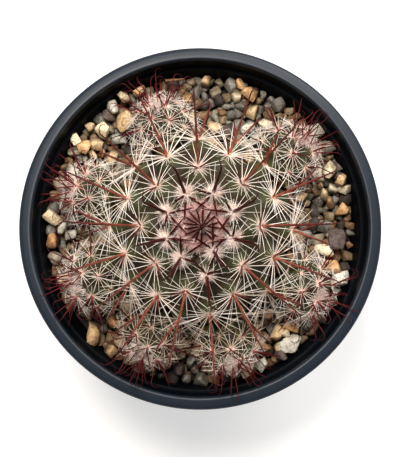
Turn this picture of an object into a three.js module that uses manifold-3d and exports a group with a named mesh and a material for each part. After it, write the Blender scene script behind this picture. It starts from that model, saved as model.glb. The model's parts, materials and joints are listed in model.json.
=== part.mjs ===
// A potted fishhook cactus. A black nursery pot holds a gritty mix and a layer of pebbles, and in
// them stand a tubercled main head and seven pups that lean out round its foot. Every areole
// carries a star of radial spines, and most carry one hooked central spine.
// Millimetres, +Z up. The origin is the centre of the pot's foot, and -Y is the front.
import * as THREE from "three";
import { ConvexHull } from "three/addons/math/ConvexHull.js";
import { mergeVertices } from "three/addons/utils/BufferGeometryUtils.js";
import Module from "manifold-3d";

const wasm = await Module();
wasm.setup();

const DEG = Math.PI / 180;
const FULL = 2 * Math.PI;
const { abs, acos, atan2, cos, floor, hypot, max, min, round, sin, sqrt } = Math;

// Driving dimensions.
const pot = { height: 90, rim: 60, mouth: 55.8, foot: 43, wall: 1.2, floor: 1.6, ledge: 81.6, sides: 48 };
const drain = { radius: 4, circle: 30, count: 6, sides: 8 };
const mix = { bottom: 3.8, top: 70, sides: 32 };
const gravel = { top: 76.8, crest: 81, largest: 4.7, smallest: 2.7, packing: 0.8, seed: 11 };
const gap = 0.35; // between a stem and the hole that it stands in
const socket = { sides: 16, arcs: 8 }; // how finely such a hole is faceted

// The heads. A groove is the depth from a tubercle's tip down to the valley round it, and reach is
// the angle between them. Foot rings are plain knots that close the stem below and at its crown.
const mainHead = {
  name: "main_head",
  centre: new THREE.Vector3(0.3, -1.4, 93),
  bearing: 0,
  lean: 0,
  radius: 30.9,
  stretch: 1,
  groove: 3.4,
  reach: 9.5 * DEG,
  crown: 29.8,
  foot: [
    { tilt: 124, radius: 27, count: 9 },
    { tilt: 143, radius: 25.3, count: 8 },
    { tilt: 180, radius: 29, count: 1 },
  ],
  radials: { count: 9, length: 8.6, longer: 0.28, width: 0.22, raise: 14 * DEG },
  areole: { radius: 0.95, lift: 0.3, top: 0.7 },
  central: { width: 0.46, curl: 1.8, steps: 3, seed: 5 },
};

// The main head's areoles: one spiral of 8.5 areoles a turn, nearly level round the back and
// sides, that steps down to its next turn across the front.
const spiral = { first: 302, step: 42.3, warp: 5.5, warpAt: 54, tilt: 20.2, turn: 16.4 };
const stair = { seam: 271.5, half: 0.21, slope: 0.21 };
const spiralRange = { from: -8, to: 46, innermost: -0.62 };

// The pups stand round the main head and lean away from it.
const pupRing = { distance: 36.6, height: 85.4, lean: 48, radius: 10.1, stretch: 1.16 };
const pups = [
  { bearing: 42, scale: 1.05 },
  { bearing: 110, scale: 0.95 },
  { bearing: 161, scale: 1 },
  { bearing: 203, scale: 1.05 },
  { bearing: 244, scale: 0.97 },
  { bearing: 284, scale: 0.97 },
  { bearing: 331, scale: 1.05 },
];
const pupAreoles = { whole: 38, lowest: 104, turn: 137.508 };

const finish = {
  pot: { color: 0x23272d, roughness: 0.5, metalness: 0 },
  mix: { color: 0x3b332b, roughness: 1, metalness: 0 },
  gravel: { color: 0xa08a6c, roughness: 0.85, metalness: 0 },
  stem: { color: 0x4d5a3c, roughness: 0.7, metalness: 0 },
};

// Helpers

function seededRandom(seed) {
  let state = seed;
  return () => {
    state = (state + 0x6d2b79f5) | 0;
    let t = Math.imul(state ^ (state >>> 15), 1 | state);
    t = (t + Math.imul(t ^ (t >>> 7), 61 | t)) ^ t;
    return ((t ^ (t >>> 14)) >>> 0) / 4294967296;
  };
}

const smooth = (x) => {
  const t = min(max(x, 0), 1);
  return t * t * (3 - 2 * t);
};

const direction = (tilt, turn) =>
  new THREE.Vector3(sin(tilt) * cos(turn), sin(tilt) * sin(turn), cos(tilt));

// A closed geometry as a solid: its corners are merged, and faces that collapse are left out.
function solidOf(geometry) {
  const bare = geometry.clone();
  bare.deleteAttribute("normal");
  bare.deleteAttribute("uv");
  const merged = mergeVertices(bare, 1e-4);
  const index = merged.index.array;
  const faces = [];
  for (let i = 0; i < index.length; i += 3) {
    const [a, b, c] = [index[i], index[i + 1], index[i + 2]];
    if (a !== b && b !== c && c !== a) faces.push(a, b, c);
  }
  const vertProperties = Float32Array.from(merged.attributes.position.array);
  return new wasm.Manifold(
    new wasm.Mesh({ numProp: 3, vertProperties, triVerts: Uint32Array.from(faces) }),
  );
}

// A body of revolution about +Z, from [radius, height] points that run up its outside.
function turned(profile, sides) {
  const outline = profile.map(([r, z]) => new THREE.Vector2(r, z));
  return new THREE.LatheGeometry(outline, sides).rotateX(Math.PI / 2);
}

const largest = (solid) => solid.decompose().sort((a, b) => b.volume() - a.volume())[0];

function meshOf(solid, name, look) {
  const { vertProperties, triVerts } = solid.getMesh();
  const geometry = new THREE.BufferGeometry();
  geometry.setAttribute("position", new THREE.BufferAttribute(vertProperties, 3));
  geometry.setIndex(new THREE.BufferAttribute(triVerts, 1));
  geometry.computeVertexNormals();
  const mesh = new THREE.Mesh(geometry, new THREE.MeshStandardMaterial(look));
  mesh.name = name;
  return mesh;
}

// The pot and what fills it

const floorRadius = pot.foot - pot.wall;
const ledgeRadius = pot.mouth - 1.9;

// The pot's inner radius below the ledge, at a height.
function innerRadius(z) {
  return floorRadius + ((ledgeRadius - floorRadius) * (z - mix.bottom)) / (pot.ledge - mix.bottom);
}

function potSolid() {
  const { height, rim, mouth, foot, wall, ledge } = pot;
  const recess = mix.bottom - pot.floor;
  const underLip = height - 1.8;
  const profile = [
    [0, recess], [foot - 6.5, recess], [foot - 5, 0], [foot - 0.7, 0], [foot, 0.9],
    [ledgeRadius + wall - 0.2, ledge - 3.4], [mouth + 0.6, ledge - 0.2],
    [mouth + 1.1, underLip], [rim - 1.3, underLip], [rim - 1.2, ledge - 1], [rim, ledge - 1],
    [rim, height - 1.6], [rim - 1.3, height], [rim - 2.4, height - 0.35],
    [mouth + 0.9, height], [mouth, height - 1.2], [mouth - 0.7, ledge + 1.1],
    [ledgeRadius, ledge], [floorRadius, mix.bottom], [0, mix.bottom],
  ];
  const hole = new THREE.CylinderGeometry(drain.radius, drain.radius, 8, drain.sides);
  hole.rotateX(Math.PI / 2);
  let made = solidOf(turned(profile, pot.sides));
  for (let i = 0; i <= drain.count; i += 1) {
    const out = i === drain.count ? 0 : drain.circle;
    const turn = (i / drain.count) * FULL;
    made = made.subtract(solidOf(hole.clone().translate(out * cos(turn), out * sin(turn), mix.bottom)));
  }
  return made;
}

function mixSolid(heads) {
  const low = mix.bottom + gap;
  const profile = [
    [0, low], [innerRadius(low) - gap, low], [innerRadius(mix.top) - gap, mix.top], [0, mix.top],
  ];
  const filled = solidOf(turned(profile, mix.sides));
  return heads.reduce((body, head) => body.subtract(holeFor(head)), filled);
}

// Pebbles are dropped at random, the large ones first, and kept where they clear the wall and the
// stems and press only a little into each other.
function pebbleSpots(heads) {
  const random = seededRandom(gravel.seed);
  const outer = innerRadius(gravel.top) - gap;
  const spots = [];
  const drops = 6000;
  for (let drop = 0; drop < drops; drop += 1) {
    const size = gravel.largest + ((gravel.smallest - gravel.largest) * drop) / drops;
    const out = sqrt(random()) * outer;
    const turn = random() * FULL;
    const spot = new THREE.Vector3(out * cos(turn), out * sin(turn), gravel.crest - 0.85 * size);
    const clearOfWall = out + size < outer;
    const clearOfStems = heads.every((head) => isOutside(spot, head, size * 0.6));
    const clearOfOthers = spots.every(
      (other) => other.spot.distanceTo(spot) > gravel.packing * (size + other.size),
    );
    if (clearOfWall && clearOfStems && clearOfOthers) spots.push({ spot, size });
  }
  return spots;
}

function gravelSolid(heads) {
  const low = innerRadius(mix.top) - gap;
  const high = innerRadius(gravel.top) - gap;
  const profile = [[0, mix.top], [low, mix.top], [high, gravel.top], [0, gravel.top]];
  const random = seededRandom(gravel.seed + 1);
  let made = solidOf(turned(profile, mix.sides));
  for (const { spot, size } of pebbleSpots(heads)) {
    const pebble = new THREE.IcosahedronGeometry(size, 0);
    pebble.scale(1, 0.84 + 0.14 * random(), 0.8 + 0.16 * random());
    pebble.rotateX(random() * Math.PI).rotateZ(random() * Math.PI);
    pebble.translate(spot.x, spot.y, spot.z);
    made = made.add(solidOf(pebble));
  }
  return largest(heads.reduce((body, head) => body.subtract(holeFor(head)), made));
}

// Heads

// The turn from a head's own frame, whose +Z is its axis, to the part's.
function turnOf(head) {
  const tipped = new THREE.Matrix4().makeRotationY(head.lean * DEG);
  return new THREE.Matrix4().makeRotationZ(head.bearing * DEG).multiply(tipped);
}

// The point at a radius from a head's centre, in a direction of the head's own frame.
function pointOn(head, dir, radius) {
  const local = new THREE.Vector3(dir.x, dir.y, dir.z * head.stretch).multiplyScalar(radius);
  return local.applyMatrix4(turnOf(head)).add(head.centre);
}

// Whether a point lies outside a head's outline by some room.
function isOutside(point, head, room) {
  const local = point.clone().sub(head.centre).applyMatrix4(turnOf(head).invert());
  const across = hypot(local.x, local.y) / (head.radius + room);
  return hypot(across, local.z / (head.radius * head.stretch + room)) > 1;
}

// The hole that a head stands in: its outline without tubercles, with the gap all round.
function holeFor(head) {
  const { sides, arcs } = socket;
  const belly = head.foot[0].tilt;
  const rings = [...head.foot].reverse().map(({ tilt, radius }) => [tilt * DEG, radius]);
  for (let i = arcs - 1; i >= 0; i -= 1) rings.push([(i / arcs) * belly * DEG, head.radius]);
  // The flats of the hole lie outside the round that they stand for.
  const slack = 1 / cos(Math.PI / sides) / cos((belly * DEG) / arcs / 2);
  const profile = rings.map(([tilt, radius]) => {
    const r = radius * slack + gap;
    return [r * sin(tilt), r * cos(tilt) * head.stretch];
  });
  profile[0][0] = 0;
  const geometry = turned(profile, sides).applyMatrix4(turnOf(head));
  return solidOf(geometry.translate(...head.centre));
}

// The frame at an areole: its place, its outward normal, the way down the stem and the way across.
function frameAt(head, dir) {
  const turn = turnOf(head);
  const normal = new THREE.Vector3(dir.x * head.stretch, dir.y * head.stretch, dir.z);
  normal.applyMatrix4(turn).normalize();
  const axis = new THREE.Vector3(0, 0, 1).applyMatrix4(turn);
  const down = normal.clone().multiplyScalar(normal.dot(axis)).sub(axis).normalize();
  const across = new THREE.Vector3().crossVectors(normal, down);
  return { spot: pointOn(head, dir, head.radius), normal, down, across };
}

// A point beside an areole: out from it at a bearing that starts downwards, and up along its normal.
function beside({ spot, normal, down, across }, bearing, out, up) {
  return spot.clone()
    .addScaledVector(down, cos(bearing) * out)
    .addScaledVector(across, sin(bearing) * out)
    .addScaledVector(normal, up);
}

// Level 0 is the ring of woolly young areoles nearest the middle of the crown.
function mainAreoles() {
  const list = [];
  for (let n = spiralRange.from; n <= spiralRange.to; n += 1) {
    const plain = spiral.first + n * spiral.step;
    const turn = plain + spiral.warp * sin((plain - spiral.warpAt) * DEG);
    const along = (plain - stair.seam) / 360 + stair.half;
    const flight = along - floor(along);
    const step = smooth(flight / (2 * stair.half)) + stair.slope * (flight - 0.5);
    const level = max(floor(along) - 1 + step, spiralRange.innermost);
    const tilt = spiral.tilt + spiral.turn * level;
    list.push({ dir: direction(tilt * DEG, turn * DEG), level });
  }
  return list;
}

// A pup's areoles wind down from its tip by the golden angle.
function areolesOfPup(phase) {
  const { whole, lowest, turn } = pupAreoles;
  return Array.from({ length: whole }, (_, i) => ({ tilt: acos(1 - (2 * (i + 0.5)) / whole), i }))
    .filter(({ tilt }) => tilt < lowest * DEG)
    .map(({ tilt, i }) => ({ dir: direction(tilt, i * turn * DEG + phase), level: i / 7 }));
}

// Where an areole can bear spines: in the open above the gravel, clear of the other heads.
function isExposed({ spot }, head, heads) {
  const open = heads.every((other) => other === head || isOutside(spot, other, 1.2));
  return open && spot.z > gravel.crest + 1.2 && hypot(spot.x, spot.y) < ledgeRadius - 1.5;
}

// Spines

const placedSpines = [];
const room = { ownHead: 0.1, otherHead: 0.45, gravel: 0.5, pot: 1 };

const linesOf = (points) => points.slice(1).map((point, i) => new THREE.Line3(points[i], point));

// Whether a spine along these points stays clear of the pot, the gravel, the heads and the spines
// of other areoles.
function spineFits(points, width, head, areole, heads) {
  const nearest = new THREE.Vector3();
  return linesOf(points).every((line) => {
    for (const share of [0.35, 0.7, 1]) {
      const p = line.at(share, new THREE.Vector3());
      const out = hypot(p.x, p.y);
      if (p.z < gravel.crest + room.gravel || out > pot.rim - room.pot) return false;
      if (p.z < pot.height + room.pot && out > ledgeRadius - room.pot) return false;
      if (heads.some((other) => other !== head && !isOutside(p, other, 0.6 + width))) return false;
    }
    for (const other of head.areoles) {
      if (other === areole || !other.exposed) continue;
      line.closestPointToPoint(other.frame.spot, true, nearest);
      if (nearest.distanceTo(other.frame.spot) < head.areole.radius + room.ownHead + width) return false;
    }
    return placedSpines.every((other) => {
      if (other.areole === areole) return true;
      const apart = width + other.width + (other.head === head ? room.ownHead : room.otherHead);
      return line.distanceSqToLine3(other.line) > apart * apart;
    });
  });
}

function remember(points, width, head, areole) {
  for (const line of linesOf(points)) placedSpines.push({ line, width, head, areole });
}

// How long the main head's central spines are, and how far they tip down from the areole's normal.
function mainCentral(level) {
  if (level < -0.3) return { length: 9, tip: -30 * DEG };
  if (level < 0.75) return { length: 15 + 3 * max(level, 0), tip: 7 * DEG };
  if (level < 1.7) return { length: 24, tip: 24 * DEG };
  if (level < 2.7) return { length: 20, tip: 17 * DEG };
  return { length: 17, tip: 8 * DEG };
}

function pupCentral(level) {
  return level < 0.9 ? { length: 8, tip: 6 * DEG } : { length: 7, tip: 16 * DEG };
}

// A hooked spine's path: nearly straight out of the areole, then curled back in a plane of its own.
function hookedPath(frame, areoleTop, { length, tip }, { curl, steps }, roll) {
  const aim = frame.normal.clone().multiplyScalar(cos(tip)).addScaledVector(frame.down, sin(tip));
  const curlWay = new THREE.Vector3().crossVectors(frame.across, aim).normalize();
  curlWay.applyAxisAngle(aim, roll);
  const base = beside(frame, 0, 0, areoleTop);
  const end = base.clone().addScaledVector(aim, length);
  const path = [base, base.clone().lerp(end, 0.5).addScaledVector(curlWay, -0.35), end];
  for (let i = 1; i <= steps; i += 1) {
    const swing = (i / steps) * 155 * DEG;
    const ahead = aim.clone().multiplyScalar(curl * sin(swing));
    path.push(end.clone().add(ahead).addScaledVector(curlWay, curl * (1 - cos(swing))));
  }
  return { path, side: new THREE.Vector3().crossVectors(aim, curlWay) };
}

// Each exposed areole's central spine, shortened or tipped where another is in its way.
function growCentrals(head, heads) {
  const random = seededRandom(head.central.seed);
  for (const areole of head.areoles.filter(({ exposed }) => exposed)) {
    const wanted = head.centralAt(areole.level);
    const roll = (random() * 2 - 1) * 70 * DEG;
    if (areole.level > head.central.lowest) continue;
    for (const [share, shift] of [[1, 0], [1, 0.2], [1, -0.2], [0.8, 0], [0.8, -0.35], [0.6, -0.2]]) {
      const tried = { length: wanted.length * share, tip: wanted.tip + shift };
      const spine = hookedPath(areole.frame, head.areole.top, tried, head.central, roll);
      if (!spineFits(spine.path, head.central.width, head, areole, heads)) continue;
      remember(spine.path, head.central.width, head, areole);
      areole.central = spine;
      break;
    }
  }
}

// Each exposed areole's radial spines, raised, lowered or shortened to clear their neighbours. One
// that finds no room is a stub.
function growRadials(head, heads) {
  const { count, length, longer, width, raise } = head.radials;
  const tries = [[1, 1], [1.5, 1], [0.6, 1], [2, 1], [2.6, 0.9], [0.8, 0.8], [1.8, 0.75], [2.8, 0.6]];
  for (const areole of head.areoles.filter(({ exposed }) => exposed)) {
    const grown = min(1, 0.6 + 0.3 * max(areole.level, 0));
    areole.radials = Array.from({ length: count }, (_, i) => {
      const bearing = ((i + 0.5) / count) * FULL;
      const full = length * grown * (1 + (longer * (1 + cos(bearing))) / 2);
      for (const [steeper, share] of tries) {
        const angle = raise * steeper;
        const tip = beside(areole.frame, bearing, full * share * cos(angle), full * share * sin(angle));
        const root = beside(areole.frame, bearing, 0, head.areole.lift);
        if (!spineFits([root, tip], width, head, areole, heads)) continue;
        remember([root, tip], width, head, areole);
        return tip;
      }
      return beside(areole.frame, bearing, head.areole.radius * 1.6, head.areole.lift + 0.15);
    });
  }
}

// A head's skin

// How deep the skin lies below the tubercles' tips, in a direction of the head's own frame.
function grooveAt(head, dir) {
  const closest = head.areoles.reduce((best, areole) => max(best, areole.dir.dot(dir)), -1);
  return head.groove * min(acos(min(closest, 1)) / head.reach, 1) ** 1.5;
}

function plainKnots(head) {
  const rings = [{ tilt: 0, radius: head.crown, count: 1 }, ...head.foot];
  return rings.flatMap(({ tilt, radius, count }) =>
    Array.from({ length: count }, (_, i) => ({
      dir: direction(tilt * DEG, ((i + 0.5) / count) * FULL),
      radius,
    })),
  );
}

// A loop that starts at its member nearest to a bearing, with bearings that only grow from there.
function unrolled(loop, from) {
  const away = ({ bearing }) => {
    const turns = (bearing - from) / FULL;
    return (turns - round(turns)) * FULL;
  };
  const first = loop.reduce((best, member, i) => (abs(away(member)) < abs(away(loop[best])) ? i : best), 0);
  const ordered = [...loop.slice(first), ...loop.slice(0, first)];
  const start = from + away(ordered[0]);
  return ordered.map(({ index, bearing }) => {
    const further = (bearing - ordered[0].bearing) / FULL;
    return { index, bearing: start + (further - floor(further)) * FULL };
  });
}

// Fills the band between an outer and an inner loop round an areole, both anticlockwise.
function fillBand(outerLoop, innerLoop, faces) {
  const outer = unrolled(outerLoop, outerLoop[0].bearing);
  const inner = unrolled(innerLoop, outer[0].bearing);
  const next = (loop, i) => (i + 1 < loop.length ? loop[i + 1].bearing : loop[0].bearing + FULL);
  let [o, n] = [0, 0];
  while (o < outer.length || n < inner.length) {
    const here = outer[o % outer.length].index;
    const facing = inner[n % inner.length].index;
    if (n === inner.length || (o < outer.length && next(outer, o) <= next(inner, n))) {
      faces.push(here, outer[(o + 1) % outer.length].index, facing);
      o += 1;
    } else {
      faces.push(here, inner[(n + 1) % inner.length].index, facing);
      n += 1;
    }
  }
}

// A three-sided tapering tube along a central spine's path, on from its first ring.
function fillCentral({ path, side }, firstRing, width, put, faces) {
  let ring = firstRing;
  for (let i = 1; i < path.length - 1; i += 1) {
    const next = ringRound(path, i, side, width * (1 - (0.5 * i) / path.length)).map(put);
    for (let k = 0; k < 3; k += 1) {
      const j = (k + 1) % 3;
      faces.push(ring[k], ring[j], next[j], ring[k], next[j], next[k]);
    }
    ring = next;
  }
  const tip = put(path.at(-1));
  for (let k = 0; k < 3; k += 1) faces.push(ring[k], ring[(k + 1) % 3], tip);
}

// Three points round a path's point, square to the way that it runs.
function ringRound(path, i, side, radius) {
  const ahead = path[i + 1].clone().sub(path[max(i - 1, 0)]).normalize();
  const other = new THREE.Vector3().crossVectors(ahead, side).normalize();
  return [0, 1, 2].map((k) =>
    path[i].clone()
      .addScaledVector(side, radius * cos((k / 3) * FULL))
      .addScaledVector(other, radius * sin((k / 3) * FULL)),
  );
}

// An areole on top of its tubercle: a round of notches with a radial spine in front of each, and
// the central spine rising from the middle.
function fillAreole(areole, head, valley, put, faces) {
  const { frame, radials, central } = areole;
  const { radius, lift, top } = head.areole;
  const notches = radials.map((_, i) => {
    const bearing = (i / radials.length) * FULL;
    return { index: put(beside(frame, bearing, radius, lift)), bearing };
  });
  const tips = radials.map((tip, i) => ({
    index: put(tip),
    bearing: ((i + 0.5) / radials.length) * FULL,
  }));
  fillBand(valley, notches, faces);
  notches.forEach(({ index }, i) => {
    faces.push(index, notches[(i + 1) % notches.length].index, tips[i].index);
  });
  const star = notches.flatMap((notch, i) => [notch, tips[i]]);
  if (!central) {
    fillBand(star, [{ index: put(beside(frame, 0, 0, top)), bearing: 0 }], faces);
    return;
  }
  const width = head.central.width;
  const points = ringRound(central.path, 0, central.side, width);
  const ring = points.map(put);
  const loop = ring.map((index, k) => ({ index, bearing: bearingOf(points[k], frame) }));
  fillBand(star, loop, faces);
  fillCentral(central, ring, width, put, faces);
}

function bearingOf(point, { spot, down, across }) {
  const arm = point.clone().sub(spot);
  return atan2(arm.dot(across), arm.dot(down));
}

// A head as one closed skin. Areoles and plain knots are joined into triangles, and each triangle
// at an areole is divided at the middles of its sides and at its own middle, where the valleys run.
function headSolid(head) {
  const points = [];
  const faces = [];
  const put = (point) => points.push(point) - 1;
  const knots = [...head.areoles, ...plainKnots(head)];
  const dirs = knots.map(({ dir }) => dir);
  const knotPoint = ({ dir, radius = head.radius }) => pointOn(head, dir, radius);
  const indexOf = new Map(knots.map((knot) => [knot.dir, put(knotPoint(knot))]));
  const isAreole = (index) => index < head.areoles.length;
  const putValley = (between) => {
    const dir = between.reduce((sum, i) => sum.add(dirs[i]), new THREE.Vector3()).normalize();
    return put(pointOn(head, dir, head.radius - grooveAt(head, dir)));
  };
  const middles = new Map();
  const middleOf = (i, j) => {
    const key = `${min(i, j)} ${max(i, j)}`;
    if (!middles.has(key)) middles.set(key, putValley([i, j]));
    return middles.get(key);
  };
  const valleys = head.areoles.map(() => new Map());
  for (const face of new ConvexHull().setFromPoints(dirs).faces) {
    const corners = [0, 1, 2].map((k) => indexOf.get(face.getEdge(k).head().point));
    const border = corners.flatMap((corner, k) => {
      const next = corners[(k + 1) % 3];
      return isAreole(corner) || isAreole(next) ? [corner, middleOf(corner, next)] : [corner];
    });
    if (border.length === 3) {
      faces.push(...border);
      continue;
    }
    const centre = putValley(corners);
    border.forEach((from, k) => {
      const to = border[(k + 1) % border.length];
      if (isAreole(from)) valleys[from].set(to, centre);
      else if (isAreole(to)) valleys[to].set(centre, from);
      else faces.push(from, to, centre);
    });
  }
  head.areoles.forEach((areole, index) => {
    const next = valleys[index];
    const valley = [];
    let at = next.keys().next().value;
    for (let i = 0; i < next.size; i += 1) {
      valley.push({ index: at, bearing: bearingOf(points[at], areole.frame) });
      at = next.get(at);
    }
    if (areole.exposed) fillAreole(areole, head, valley, put, faces);
    else fillBand(valley, [{ index, bearing: 0 }], faces);
  });
  const geometry = new THREE.BufferGeometry().setFromPoints(points).setIndex(faces);
  return solidOf(geometry);
}

// The plant

mainHead.areoles = mainAreoles();
mainHead.centralAt = mainCentral;

const pupHeads = pups.map(({ bearing, scale }, i) => ({
  name: `pup_${i + 1}`,
  centre: new THREE.Vector3(cos(bearing * DEG), sin(bearing * DEG), 0)
    .multiplyScalar(pupRing.distance)
    .add(new THREE.Vector3(mainHead.centre.x, mainHead.centre.y, pupRing.height)),
  bearing,
  lean: pupRing.lean,
  radius: pupRing.radius * scale,
  stretch: pupRing.stretch,
  groove: 1.5,
  reach: 19 * DEG,
  crown: pupRing.radius * scale - 0.3,
  foot: [{ tilt: 128, radius: 9.6 * scale, count: 6 }, { tilt: 180, radius: 9.8 * scale, count: 1 }],
  radials: { count: 6, length: 5.2, longer: 0.25, width: 0.2, raise: 16 * DEG },
  areole: { radius: 0.6, lift: 0.25, top: 0.5 },
  central: { width: 0.34, curl: 1.2, steps: 2, seed: 20 + i, lowest: 2.2 },
  areoles: areolesOfPup(i * 1.7),
  centralAt: pupCentral,
}));

const heads = [mainHead, ...pupHeads];
for (const head of heads) {
  for (const areole of head.areoles) {
    areole.frame = frameAt(head, areole.dir);
    areole.exposed = isExposed(areole.frame, head, heads);
  }
}
for (const head of heads) growCentrals(head, heads);
for (const head of heads) growRadials(head, heads);

const mainSolid = pupHeads.reduce((body, pup) => body.subtract(holeFor(pup)), headSolid(mainHead));

const group = new THREE.Group();
group.add(meshOf(potSolid(), "pot", finish.pot));
group.add(meshOf(mixSolid(heads), "potting_mix", finish.mix));
group.add(meshOf(gravelSolid(heads), "gravel", finish.gravel));
group.add(meshOf(largest(mainSolid), mainHead.name, finish.stem));
for (const pup of pupHeads) group.add(meshOf(headSolid(pup), pup.name, finish.stem));

export default group;
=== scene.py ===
import json
from math import acos, asin, atan2, cos, floor, hypot, inf, pi, radians, sin, sqrt

import bmesh
import bpy
import numpy as np
from mathutils import Matrix, Vector

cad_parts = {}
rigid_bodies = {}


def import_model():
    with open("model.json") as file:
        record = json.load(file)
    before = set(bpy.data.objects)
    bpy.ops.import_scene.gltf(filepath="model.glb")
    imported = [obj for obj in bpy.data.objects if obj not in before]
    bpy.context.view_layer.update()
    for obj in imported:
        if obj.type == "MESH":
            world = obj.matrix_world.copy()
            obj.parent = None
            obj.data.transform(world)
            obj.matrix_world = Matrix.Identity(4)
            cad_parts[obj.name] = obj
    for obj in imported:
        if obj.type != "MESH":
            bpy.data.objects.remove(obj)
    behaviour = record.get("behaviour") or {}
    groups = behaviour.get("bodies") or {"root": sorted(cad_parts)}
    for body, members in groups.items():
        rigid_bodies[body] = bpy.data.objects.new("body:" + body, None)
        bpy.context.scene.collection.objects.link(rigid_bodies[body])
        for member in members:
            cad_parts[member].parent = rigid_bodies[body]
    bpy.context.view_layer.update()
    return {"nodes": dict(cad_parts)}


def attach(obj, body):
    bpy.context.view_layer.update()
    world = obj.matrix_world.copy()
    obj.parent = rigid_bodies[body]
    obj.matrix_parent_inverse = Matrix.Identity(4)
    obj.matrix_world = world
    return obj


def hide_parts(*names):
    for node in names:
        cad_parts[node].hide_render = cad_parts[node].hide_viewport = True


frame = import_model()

# The potted fishhook cactus, dressed. Sizes are in millimetres, and in metres in the meshes.
mm = 0.001
fullTurn = 2 * pi

# Where the heads stand and how their areoles wind, as in the solids
mainHead = {"name": "main_head", "kind": "main", "centre": (0.3, -1.4, 93), "bearing": 0, "lean": 0,
            "radius": 30.9, "stretch": 1, "groove": 3.6, "reach": 9.6, "detail": 6}
spiral = {"first": 302, "step": 42.3, "warp": 5.5, "warpAt": 54, "tilt": 20.2, "turn": 16.4,
          "from": -8, "to": 46, "innermost": -0.62, "seam": 271.5, "half": 0.21, "slope": 0.21}
pupRing = {"distance": 36.6, "height": 85.4, "lean": 48, "radius": 10.1, "stretch": 1.16,
           "bearings": (42, 110, 161, 203, 244, 284, 331),
           "scales": (1.05, 0.95, 1, 1.05, 0.97, 0.97, 1.05), "groove": 1.6, "reach": 19, "detail": 5,
           "areoles": 38, "lowest": 104, "turn": 137.508, "perLevel": 7, "phase": 1.7}


# Draws the same numbers as the solids' own random generator
def seededRandom(seed):
    state, mask = seed, 0xFFFFFFFF
    while True:
        state = (state + 0x6D2B79F5) & mask
        t = ((state ^ (state >> 15)) * (1 | state)) & mask
        t = ((t + (((t ^ (t >> 7)) * (61 | t)) & mask)) & mask) ^ t
        yield ((t ^ (t >> 14)) & mask) / (mask + 1)


def linear(part):
    part = part / 255
    return part / 12.92 if part <= 0.04045 else ((part + 0.055) / 1.055) ** 2.4


# Three numbers up to 255 become a colour, and anything else stays as it is
def asColour(given):
    return (*map(linear, given), 1) if isinstance(given, tuple) and len(given) == 3 else given


def smooth(x):
    t = min(max(x, 0), 1)
    return t * t * (3 - 2 * t)


def unit(vectors):
    return vectors / np.linalg.norm(vectors, axis=-1, keepdims=True)


def direction(tilt, bearing):
    flat = sin(tilt)
    return np.array((flat * cos(bearing), flat * sin(bearing), cos(tilt)))


def newObject(name, data):
    made = bpy.data.objects.new(name, data)
    bpy.context.scene.collection.objects.link(made)
    return made


def meshOf(shape, name):
    mesh = bpy.data.meshes.new(name)
    shape.to_mesh(mesh)
    shape.free()
    return mesh


# An operator on sockets and its reflected form
def both(step):
    return (lambda wire, other: wire.join(other, step)), (lambda wire, other: wire.join(other, step, True))


# A socket that takes Python's operators
class Wire:
    __add__, __radd__ = both("ADD")
    __sub__, __rsub__ = both("SUBTRACT")
    __mul__, __rmul__ = both("MULTIPLY")
    __truediv__, __rtruediv__ = both("DIVIDE")
    __pow__, __rpow__ = both("POWER")

    def __init__(self, board, socket):
        self.board, self.socket = board, socket

    def join(self, other, step, swap=False):
        pair = (other, self) if swap else (self, other)
        kinds = [end.socket.type if isinstance(end, Wire) else "VECTOR" if isinstance(end, tuple) else "VALUE"
                 for end in pair]
        inputs = {0: pair[0], 1: pair[1]}
        if "VECTOR" not in kinds:
            return self.board.add("ShaderNodeMath", {"operation": step}, inputs)
        if step == "MULTIPLY" and "VALUE" in kinds:
            arrow, size = pair if kinds[0] == "VECTOR" else pair[::-1]
            step, inputs = "SCALE", {0: arrow, "Scale": size}
        return self.board.add("ShaderNodeVectorMath", {"operation": step}, inputs)

    def least(self, other): return self.join(other, "MINIMUM")
    def most(self, other): return self.join(other, "MAXIMUM")
    def sine(self): return self.join(0, "SINE")
    def cosine(self): return self.join(0, "COSINE")


# A node tree, with one method that adds any node
class Board:
    def __init__(self, tree):
        self.tree = tree

    def add(self, kind, settings=None, inputs=None, output=0):
        node = self.tree.nodes.new(kind)
        for name, value in (settings or {}).items():
            if name == "stops":
                stops = node.color_ramp.elements
                for place, colour in value[1:-1]:
                    stops.new(place).color = colour
                for stop, (place, colour) in ((stops[0], value[0]), (stops[-1], value[-1])):
                    stop.position, stop.color = place, colour
            else:
                setattr(node, name, value)
        for name, value in (inputs or {}).items():
            if isinstance(value, Wire):
                self.tree.links.new(value.socket, node.inputs[name])
            else:
                node.inputs[name].default_value = value
        return Wire(self, node.outputs[output])

    def attribute(self, name):
        return self.add("ShaderNodeAttribute", {"attribute_name": name}, output="Fac")

    def ramp(self, factor, *stops):
        stops = [(place, asColour(colour)) for place, colour in stops]
        return self.add("ShaderNodeValToRGB", {"stops": stops}, {"Fac": factor})

    def blend(self, factor, under, over, mode="MIX"):
        inputs = {0: factor, 6: asColour(under), 7: asColour(over)}
        return self.add("ShaderNodeMix", {"data_type": "RGBA", "blend_type": mode}, inputs, output=2)

    # Lays a colour over another as a value goes from low to high
    def layer(self, under, over, value, low, high, share=1.0):
        return self.blend(self.spread(value, low, high, 0.0, share), under, over)

    def spread(self, value, low, high, newLow=0.0, newHigh=1.0):
        inputs = {"From Min": low, "From Max": high, "To Min": newLow, "To Max": newHigh}
        return self.add("ShaderNodeMapRange", {"clamp": True}, {"Value": value, **inputs})

    def bump(self, height, strength, distance):
        return self.add("ShaderNodeBump", inputs={
            "Height": height, "Strength": strength, "Distance": distance})


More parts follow.
